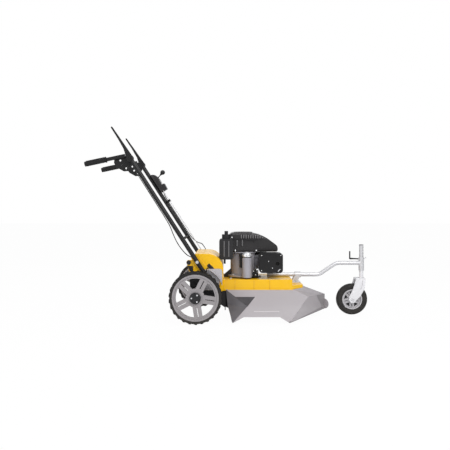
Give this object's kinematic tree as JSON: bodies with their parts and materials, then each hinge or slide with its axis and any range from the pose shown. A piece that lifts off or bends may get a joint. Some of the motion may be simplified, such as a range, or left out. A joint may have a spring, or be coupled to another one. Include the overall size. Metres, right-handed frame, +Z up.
{
  "type": "wheeled string trimmer",
  "caption": "Walk-behind three-wheeled rough-grass trimmer with a petrol engine, pointed translucent skirt, line cutter, castor on a front arm, and sloping handlebars.",
  "frame": {"origin": "on the ground at the middle of the bounding box", "axes": "+X forwards to the castor, +Y to the machine's left, +Z up"},
  "size_m": [1.86, 0.6912, 1.2346],
  "materials": {
    "yellow_paint": "gloss powder coat",
    "black_paint": "satin powder coat",
    "zinc": "dull zinc plating",
    "steel": "machined",
    "casting": "as cast",
    "engine_plastic": "moulded, satin",
    "rim_plastic": "moulded, fine grain",
    "skirt_plastic": "translucent, slightly hazy",
    "rubber": "soft moulded",
    "tyre": "moulded tread",
    "line": "drawn nylon"
  },
  "bodies": {
    "chassis": {"deck": "yellow_paint", "side_plates": "yellow_paint", "belt_cowl": "yellow_paint", "wheel_guards": "rim_plastic", "skirt": "skirt_plastic", "rear_flap": "rubber", "front_arm": "zinc", "arm_saddle": "zinc", "deck_bolts": "zinc", "engine_block": "casting", "cylinder_head": "casting", "blower_shroud": "engine_plastic", "starter_cover": "engine_plastic", "fuel_tank": "engine_plastic", "muffler": "zinc", "muffler_guard": "black_paint", "oil_filler": "engine_plastic", "starter_motor": "casting", "air_filter": "engine_plastic", "spindle_housing": "casting", "gearbox_housing": "casting", "bearings": "steel", "cutter_belt": "rubber", "traction_belt": "rubber", "handlebar_right": "black_paint", "handlebar_left": "black_paint", "handlebar_brace": "black_paint", "control_box": "engine_plastic", "control_cables": "engine_plastic"},
    "crank": {"crankshaft": "steel", "flywheel": "casting"},
    "cutter": {"cutter_spindle": "steel", "cutter_head": "engine_plastic", "trimmer_lines": "line"},
    "worm": {"gearbox_input": "steel"},
    "axle": {"rear_axle": "steel"},
    "wheel_right": {"rim_right": "rim_plastic", "tyre_right": "tyre", "hub_cap_right": "engine_plastic"},
    "wheel_left": {"rim_left": "rim_plastic", "tyre_left": "tyre", "hub_cap_left": "engine_plastic"},
    "post": {"height_post": "zinc"},
    "fork": {"castor_fork": "zinc", "castor_axle": "zinc"},
    "castor_wheel": {"castor_rim": "rim_plastic", "castor_tyre": "tyre"},
    "pin": {"height_pin": "zinc"},
    "grip_arm_r": {"grip_arm_right": "black_paint", "grip_right": "rubber"},
    "grip_arm_l": {"grip_arm_left": "black_paint", "grip_left": "rubber"},
    "lever_r": {"lever_right": "black_paint"},
    "lever_l": {"lever_left": "black_paint"},
    "shift_knob": {"shift_lever": "engine_plastic"},
    "shift_link": {"shift_rod": "zinc"},
    "cutter_tensioner": {"cutter_idler": "steel"},
    "traction_tensioner": {"traction_idler": "steel"},
    "knob": {"cowl_knob": "engine_plastic"},
    "tank_cap": {"fuel_cap": "engine_plastic"}
  },
  "joints": [
    {"name": "crank_spin", "type": "hinge", "parent": "chassis", "child": "crank", "pos_m": [0.08605, 0, 0.232], "axis": [0, 0, 1], "continuous": true},
    {"name": "cutter_spin", "type": "hinge", "parent": "chassis", "child": "cutter", "pos_m": [0.23105, 0, 0.208], "axis": [0, 0, 1], "continuous": true},
    {"name": "worm_spin", "type": "hinge", "parent": "chassis", "child": "worm", "pos_m": [-0.18095, 0, 0.232], "axis": [0, 0, 1], "continuous": true},
    {"name": "axle_spin", "type": "hinge", "parent": "chassis", "child": "axle", "pos_m": [-0.21895, 0, 0.165], "axis": [0, 1, 0], "continuous": true},
    {"name": "wheel_right_spin", "type": "hinge", "parent": "axle", "child": "wheel_right", "pos_m": [-0.21895, -0.3, 0.165], "axis": [0, 1, 0], "continuous": true},
    {"name": "wheel_left_spin", "type": "hinge", "parent": "axle", "child": "wheel_left", "pos_m": [-0.21895, 0.3, 0.165], "axis": [0, 1, 0], "continuous": true},
    {"name": "post_slide", "type": "slide", "parent": "chassis", "child": "post", "axis": [0, 0, 1], "range_m": [-0.06, 0]},
    {"name": "fork_swivel", "type": "hinge", "parent": "post", "child": "fork", "pos_m": [0.89105, 0, 0.3], "axis": [0, 0, 1], "continuous": true},
    {"name": "castor_spin", "type": "hinge", "parent": "fork", "child": "castor_wheel", "pos_m": [0.82505, 0, 0.105], "axis": [0, 1, 0], "continuous": true},
    {"name": "pin_pull", "type": "slide", "parent": "chassis", "child": "pin", "axis": [-0.766, 0.6428, 0], "range_m": [0, 0.015], "stiffness_N_per_m": 400, "springref_m": -0.005},
    {"name": "grip_right_tilt", "type": "hinge", "parent": "chassis", "child": "grip_arm_r", "pos_m": [-0.63645, -0.2253, 1.03576], "axis": [0, -1, 0], "range_deg": [-15, 15]},
    {"name": "grip_left_tilt", "type": "hinge", "parent": "chassis", "child": "grip_arm_l", "pos_m": [-0.63645, 0.2253, 1.03576], "axis": [0, -1, 0], "range_deg": [-15, 15]},
    {"name": "lever_right_squeeze", "type": "hinge", "parent": "grip_arm_r", "child": "lever_r", "pos_m": [-0.63645, -0.2253, 1.03576], "axis": [0, -1, 0], "range_deg": [0, 50], "stiffness_Nm_per_rad": 1, "springref_deg": -22.92},
    {"name": "lever_left_squeeze", "type": "hinge", "parent": "grip_arm_l", "child": "lever_l", "pos_m": [-0.63645, 0.2253, 1.03576], "axis": [0, -1, 0], "range_deg": [0, 50], "stiffness_Nm_per_rad": 1, "springref_deg": -22.92},
    {"name": "traction_idler_swing", "type": "hinge", "parent": "chassis", "child": "traction_tensioner", "pos_m": [0.00305, -0.115, 0.232], "axis": [0, 0, -1], "range_deg": [0, 8]},
    {"name": "cutter_idler_swing", "type": "hinge", "parent": "chassis", "child": "cutter_tensioner", "pos_m": [0.10605, 0.126, 0.208], "axis": [0, 0, -1], "range_deg": [0, 8]},
    {"name": "shift_rod_slide", "type": "slide", "parent": "chassis", "child": "shift_link", "axis": [-0.5417, 0, 0.8406], "range_m": [-0.01, 0.01]},
    {"name": "shift_lever_swing", "type": "hinge", "parent": "chassis", "child": "shift_knob", "pos_m": [-0.53079, 0.2253, 0.93254], "axis": [0, 1, 0], "range_deg": [-20, 20]},
    {"name": "cowl_knob_turn", "type": "hinge", "parent": "chassis", "child": "knob", "pos_m": [-0.26695, -0.211, 0.374], "axis": [0, -1, 0], "range_deg": [-180, 180]},
    {"name": "fuel_cap_turn", "type": "hinge", "parent": "chassis", "child": "tank_cap", "pos_m": [-0.02695, -0.1025, 0.52], "axis": [0, 0, 1], "range_deg": [0, 90]}
  ],
  "couplings": [
    {"joint": "cutter_spin", "follows": "crank_spin", "ratio": 0.8},
    {"joint": "worm_spin", "follows": "crank_spin", "ratio": 0.5},
    {"joint": "axle_spin", "follows": "crank_spin", "ratio": 0.025},
    {"joint": "traction_idler_swing", "follows": "lever_right_squeeze", "ratio": 0.16},
    {"joint": "cutter_idler_swing", "follows": "lever_left_squeeze", "ratio": 0.16},
    {"joint": "shift_lever_swing", "follows": "shift_rod_slide", "rad_per_m": 33}
  ]
}
